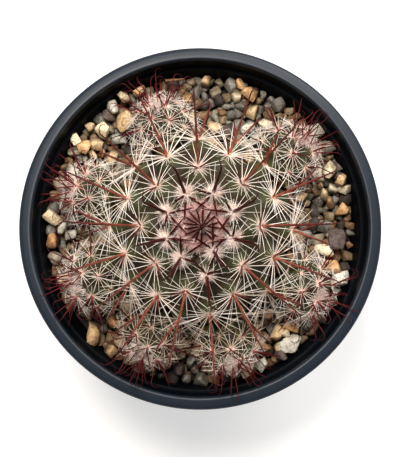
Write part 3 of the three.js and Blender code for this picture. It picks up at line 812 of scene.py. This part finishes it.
# The felt that fills a crown, where the youngest areoles meet
def crownWool(head, style, rng):
    # Each tuft gets a blush that sets its pink, and above 2 it darkens the tuft as painted shade
    tufts = [(style["reach"] * sqrt(rng.uniform(0, 1)), rng.uniform(0, fullTurn),
              rng.uniform(*style["blushAndShade"])) for _ in range(style["tufts"])]
    rows = []
    for i in range(style["hairs"] + style["pads"]):
        isPad = i >= style["hairs"]
        out, bearing, blushAndShade = tufts[i % len(tufts)]
        middle = np.array((cos(bearing), sin(bearing))) * out
        x, y = middle + rng.normal(scale=style["loose"], size=2)
        out, bearing = hypot(x, y), atan2(y, x)
        outward = direction(asin(out / head["radius"]), bearing)
        inward = np.array((-cos(bearing), -sin(bearing), 0)) * rng.uniform(0.1, 0.9)
        root = head["centre"] + head["turned"] @ (outward * (1, 1, head["stretch"]) * (head["radius"] - 1.2))
        aim = head["turned"] @ unit(outward + inward + rng.normal(scale=0.25, size=3))
        rows.append((root, aim, style["length"] * rng.uniform(0.55, 0.75 if isPad else 1.1),
                     rng.uniform(0.2, 0.34) if isPad else style["width"],
                     max(blushAndShade + rng.uniform(-0.25, 0.25) - 0.9 * out / style["reach"], 0)))
    return rows


gravel = {"count": 820, "floor": 71.4, "top": 81.2, "small": 1.35, "large": 2.6, "within": 51,
          "start": (72, 82), "steps": 200, "sink": 0.1, "push": 0.3, "mostPush": 0.6, "apart": 0.4,
          "proud": 0.3, "hug": {"main": 0.97, "pup": 1.04}, "seed": 12, "shapes": 18, "planes": 9,
          "cut": (0.72, 0.95), "bevel": 0.21, "scale": ((0.94, 1.3), (0.84, 1.04), (0.7, 0.9))}
# Each kind's share by its upper bound: where greys gather, on the side where darker stones give painted
# shade, and elsewhere
shares = {"greyer": (0.3, 0.4, 0.54, 0.78, 0.95), "paintedShadeSide": (0.42, 0.6, 0.66, 0.86, 0.88),
          "other": (0.38, 0.5, 0.7, 0.84, 0.92)}
# Stones that stand out: x, y, size, kind and tint
standouts = (
    (-25.8, 37.1, 3.5, "tan", 0.6), (-32.9, 33, 2.5, "cream", 0.5), (-29.5, 41.5, 2.1, "grey", 0.9),
    (-26.1, 44.9, 1.8, "cream", 0.2), (-20.4, 46.9, 2.2, "tan", 0.4), (-42.4, 30.3, 1.8, "cream", 0.6),
    (-39, 27.9, 2.5, "ochre", 0.6), (16.6, 45.9, 2.2, "ochre", 0.7), (39.1, 33.3, 2.7, "pumice", 0.3),
    (41.8, 27.5, 2.4, "grey", 0.3), (43.5, 19.7, 2.2, "cream", 0.7), (47.9, 16.2, 2.3, "tan", 0.6),
    (46.3, -4, 3.2, "lava", 0.5), (43.1, -7.6, 2.1, "cream", 0.8), (44.5, -12.5, 2.4, "ochre", 0.6),
    (46.6, -17, 2.8, "pumice", 0.9), (30.6, -38.7, 3.2, "pumice", 0.9), (25.5, -35.3, 2.4, "tan", 0.7),
    (30.9, -32.9, 2.3, "ochre", 0.4), (20.4, -39, 2.1, "ochre", 0.2), (27.2, -42.4, 2, "lava", 0.6),
    (20.7, -46.1, 2.1, "grey", 0.9), (15.4, -47.6, 2.7, "cream", 0.6), (-36, -35.6, 2.7, "tan", 0.4),
    (-26.5, -38, 2.3, "ochre", 0.4), (-50, 3.8, 2.2, "cream", 0.3), (-46.6, 0.9, 2.3, "pumice", 0.6),
    (-43.6, -1.9, 1.9, "pumice", 0.7), (-49.8, -3.8, 2, "ochre", 0.3))


def wallRadius(z):
    low, high, bottom = pot["innerFoot"], pot["innerLedge"], pot["floor"]
    return low + (high - low) * (z - bottom) / (pot["ledge"] - bottom) - gravel["apart"]


# Stones sink step by step, pushed off one another, the heads and the pot's wall
def settle(heads):
    rng = np.random.default_rng(gravel["seed"])
    count, ready = gravel["count"], len(standouts)
    sizes = gravel["small"] + (gravel["large"] - gravel["small"]) * rng.uniform(0, 1, count) ** 2.2
    out = np.sqrt(rng.uniform(0.2, 1, count)) * gravel["within"]
    bearing = rng.uniform(0, fullTurn, count)
    start = rng.uniform(*gravel["start"], count)
    spots = np.stack([out * np.cos(bearing), out * np.sin(bearing), start], axis=1)
    given = np.array([stone[:3] for stone in standouts])
    sizes[:ready] = given[:, 2]
    same = np.eye(count, dtype=bool)
    for _ in range(gravel["steps"]):
        spots[:, 2] -= gravel["sink"]
        apart = spots[:, None] - spots[None]
        far = np.linalg.norm(apart, axis=2)
        far[same] = 1e9
        press = np.maximum(sizes[:, None] + sizes[None] - far, 0)
        pushed = (apart / far[..., None] * press[..., None]).sum(1) * gravel["push"]
        spots += np.clip(pushed, -gravel["mostPush"], gravel["mostPush"])
        for head in heads:
            arms = spots - head["centre"]
            long = np.linalg.norm(arms, axis=1)
            keep = head["radius"] * gravel["hug"][head["kind"]] + sizes * 0.85
            spots += arms / long[:, None] * np.maximum(keep - long, 0)[:, None]
        spots[:ready] = given
        spots[:ready, 2] = gravel["top"] + gravel["proud"]
        reach = np.hypot(spots[:, 0], spots[:, 1])
        limit = wallRadius(spots[:, 2]) - sizes * 0.72
        spots[:, :2] *= np.minimum(1, limit / np.maximum(reach, 1e-6))[:, None]
        spots[:, 2] = np.clip(spots[:, 2], gravel["floor"] + sizes, gravel["top"] - sizes * 0.8)
    return spots, sizes, rng


# Chipped stones: a block cut by random planes, with its edges bevelled
def makeShapes():
    rng = np.random.default_rng(3)
    collection = bpy.data.collections.new("stoneShapes")
    for i in range(gravel["shapes"]):
        stone = bmesh.new()
        bmesh.ops.create_cube(stone, size=2)
        for normal in unit(rng.normal(size=(gravel["planes"], 3))):
            whole = stone.verts[:] + stone.edges[:] + stone.faces[:]
            cut = bmesh.ops.bisect_plane(stone, geom=whole, plane_co=normal * rng.uniform(*gravel["cut"]),
                                         plane_no=normal, clear_outer=True)
            rim = [part for part in cut["geom_cut"] if isinstance(part, bmesh.types.BMEdge)]
            if rim:
                bmesh.ops.edgeloop_fill(stone, edges=rim)
        bmesh.ops.remove_doubles(stone, verts=stone.verts[:], dist=0.2)
        bmesh.ops.bevel(stone, geom=stone.edges[:], offset=gravel["bevel"], offset_type="OFFSET", segments=1,
                        profile=0.5, affect="EDGES", clamp_overlap=True)
        bmesh.ops.recalc_face_normals(stone, faces=stone.faces[:])
        label = f"stoneShape{i:02d}"
        collection.objects.link(bpy.data.objects.new(label, meshOf(stone, label)))
    return collection


def makePebbles(heads, tree, materials):
    spots, sizes, rng = settle(heads)
    count, shapes = len(spots), makeShapes()
    bearing = np.degrees(np.arctan2(spots[:, 1], spots[:, 0])) % 360
    draw = rng.uniform(0, 1, count)
    # Painted shade: stones between bearings 200 and 300 are drawn more often from darker kinds
    greyer, paintedShadeSide = (bearing > 20) & (bearing < 100), (bearing > 200) & (bearing < 300)
    found = [np.searchsorted(bounds, draw) for bounds in shares.values()]
    kind = np.select([greyer, paintedShadeSide, bearing >= 0], found)
    turned = rng.uniform(0, fullTurn, (count, 3))
    shape = rng.integers(0, gravel["shapes"], count)
    # Painted shade: on that side the stones get only the darkest tints
    tint = rng.uniform(0, 1, count) * np.where(paintedShadeSide, 0.2, 0.85) + np.where(paintedShadeSide, 0, 0.15)
    for i, stone in enumerate(standouts):
        kind[i], tint[i] = kinds.index(stone[3]), stone[4]
    scale = np.stack([rng.uniform(*ends, count) for ends in gravel["scale"]], axis=1)
    for i, name in enumerate(kinds):
        own = kind == i
        values = {"turned": turned[own], "shape": shape[own].astype(np.int32),
                  "size": scale[own] * sizes[own, None] * mm, "tint": tint[own]}
        grow("pebbles_" + name, "gravel", tree, spots[own] * mm, values,
             {"Shapes": shapes, "Material": materials[name]})
    for stone in list(shapes.objects):
        bpy.data.objects.remove(stone)
    bpy.data.collections.remove(shapes)


twig = {"root": (-11.8, 50.2, 80.9), "aim": (1, 0.06, 0.06), "length": 6.4, "width": 0.42, "bow": 0.16}


def makeTwig(tree, material):
    row = (twig["root"], unit(np.array(twig["aim"])), (0, 0, 1), twig["length"], twig["width"], 0, 0)
    growSpines("twig", "gravel", tree, [row], twig["bow"],
               {"Points": 8, "Sides": 8, "Tip": 0.55, "Taper": 3.0, "Material": material})


pot = {"sides": 192, "rim": 60, "height": 90, "mouth": 55.8, "foot": 43, "ledge": 81.6, "innerLedge": 53.9,
       "innerFoot": 41.8, "floor": 3.8, "under": 2.2, "drainRadius": 4, "drainCircle": 30, "drains": 6}


def makePot(material):
    rim, height, mouth, foot, ledge, inner = (
        pot[key] for key in ("rim", "height", "mouth", "foot", "ledge", "innerLedge"))
    # Radius and height, from the underside up the outside and down the inside
    outline = (
        (foot - 6.5, pot["under"]), (foot - 5.6, 1.4), (foot - 5, 0), (foot - 0.9, 0), (foot - 0.2, 0.4),
        (foot, 1.1), (54.9, ledge - 3.4), (55.3, ledge - 1.2), (mouth + 0.6, ledge - 0.2),
        (mouth + 1.1, height - 1.8), (rim - 1.3, height - 1.8), (rim - 1.2, ledge - 0.8),
        (rim - 1, ledge - 1), (rim - 0.2, ledge - 1), (rim, ledge - 0.7), (rim, height - 1.9),
        (rim - 0.1, height - 1.35), (rim - 0.4, height - 0.85), (rim - 0.9, height - 0.55),
        (rim - 1.6, height - 0.36), (rim - 2.4, height - 0.2), (rim - 3.1, height - 0.06),
        (mouth + 0.65, height - 0.02), (mouth + 0.25, height - 0.22), (mouth, height - 0.8),
        (mouth - 0.5, ledge + 1.6), (mouth - 0.75, ledge + 0.7), (mouth - 1.2, ledge + 0.15),
        (inner, ledge), (inner - 0.15, ledge - 0.9), (pot["innerFoot"], pot["floor"]))
    shell = bmesh.new()
    turns = np.linspace(0, fullTurn, pot["sides"], endpoint=False)
    rings = [[shell.verts.new((radius * cos(a) * mm, radius * sin(a) * mm, z * mm)) for a in turns]
             for radius, z in outline]
    rings = [list(zip(ring, ring[1:] + ring[:1])) for ring in rings]
    for low, high in zip(rings, rings[1:]):
        for below, above in zip(low, high):
            shell.faces.new((*below, *above[::-1]))
    for ring, z, way in ((rings[0], pot["under"], -1), (rings[-1], pot["floor"], 1)):
        centre = shell.verts.new((0, 0, z * mm))
        for edge in ring:
            shell.faces.new((centre, *edge[::way]))
    piece = newObject("pot_shell", meshOf(shell, "pot_shell"))
    cutDrains(piece)
    piece.data.materials.clear()
    piece.data.materials.append(material)
    piece.data.shade_smooth()
    piece.data.set_sharp_from_angle(angle=radians(50))
    finishPiece(piece, "pot")


def cutDrains(piece):
    cutter = bmesh.new()
    for i in range(pot["drains"] + 1):
        angle = fullTurn * i / pot["drains"]
        out = 0 if i == pot["drains"] else pot["drainCircle"]
        place = Matrix.Translation((out * cos(angle) * mm, out * sin(angle) * mm, 3 * mm))
        bmesh.ops.create_cone(cutter, cap_ends=True, segments=24, radius1=pot["drainRadius"] * mm,
                              radius2=pot["drainRadius"] * mm, depth=8 * mm, matrix=place)
    tool = newObject("drainCutter", meshOf(cutter, "drainCutter"))
    cut = piece.modifiers.new("drains", "BOOLEAN")
    cut.operation, cut.solver, cut.object = "DIFFERENCE", "EXACT", tool
    depsgraph = bpy.context.evaluated_depsgraph_get()
    result = bpy.data.meshes.new_from_object(piece.evaluated_get(depsgraph))
    piece.modifiers.clear()
    piece.data = result
    bpy.data.objects.remove(tool)


def setStage():
    bpy.ops.mesh.primitive_plane_add(size=12)
    ground = bpy.context.active_object
    ground.name = "floor"
    paper = Finish("floorPaper", Roughness=0.9, Base_Color=(0.5, 0.5, 0.5, 1),
                   Emission_Color=(1, 1, 1, 1), Emission_Strength=0.62)
    ground.data.materials.append(paper.material)


lights = {"key": {"tilt": 18, "bearing": 112, "size": 0.28, "power": 17.8, "colour": (1, 0.93, 0.85)},
          "fill": {"tilt": 50, "bearing": 60, "size": 0.5, "power": 10, "colour": (1, 0.96, 0.92)},
          "distance": 1.05, "sky": 0.1, "skyColour": (1, 0.96, 0.92, 1)}


def setLights():
    for name in ("key", "fill"):
        style = lights[name]
        data = bpy.data.lights.new(name, "AREA")
        data.size, data.energy, data.color = style["size"], style["power"], style["colour"]
        lamp = newObject(name, data)
        towards = Vector(direction(radians(style["tilt"]), radians(style["bearing"])))
        lamp.location = Vector((0, 0, 0.09)) + towards * lights["distance"]
        lamp.rotation_euler = towards.to_track_quat("Z", "Y").to_euler()
    world = bpy.data.worlds.new("studio")
    bpy.context.scene.world = world
    world.use_nodes = True
    sky = world.node_tree.nodes["Background"]
    sky.inputs["Color"].default_value = lights["skyColour"]
    sky.inputs["Strength"].default_value = lights["sky"]
    bpy.context.scene.view_settings.view_transform = "Standard"


shot = {"target": (-0.07, -0.38, 90), "distance": 450, "elevation": 87, "lens": 107.5}


def setCamera():
    rise = radians(shot["elevation"])
    camera = newObject("camera", bpy.data.cameras.new("camera"))
    camera.data.lens = shot["lens"]
    back = np.array((0, -cos(rise), sin(rise))) * shot["distance"]
    camera.location = (shot["target"] + back) * mm
    camera.rotation_euler = (pi / 2 - rise, 0, 0)
    bpy.context.scene.camera = camera


setCamera()
setLights()
setStage()
print("stage set")

soil = frame["nodes"]["potting_mix"].data.materials
soil.clear()
soil.append(soilMix())
makePot(potPlastic())
print("pot made")

heads = setUpHeads()
for head in heads:
    head["open"] = exposed(head, heads)
skin, spines, scatter = skinTree(), spineTree(), scatterTree()
makePebbles(heads, scatter, {kind: stoneFinish(kind, **look) for kind, look in stoneLooks.items()})
makeTwig(spines, twigBark())
print("pebbles laid")

skinLook, feltLook, radialLook, centralLook = stemSkin(), feltWool(), radialSpine(), centralSpine()
for head in heads:
    makeStem(head, heads, skin, skinLook)
    makeRadials(head, heads, spines, radialLook)
    makeCentrals(head, heads, spines, centralLook)
    makeWool(head, spines, feltLook)
    print(head["name"], "grown")
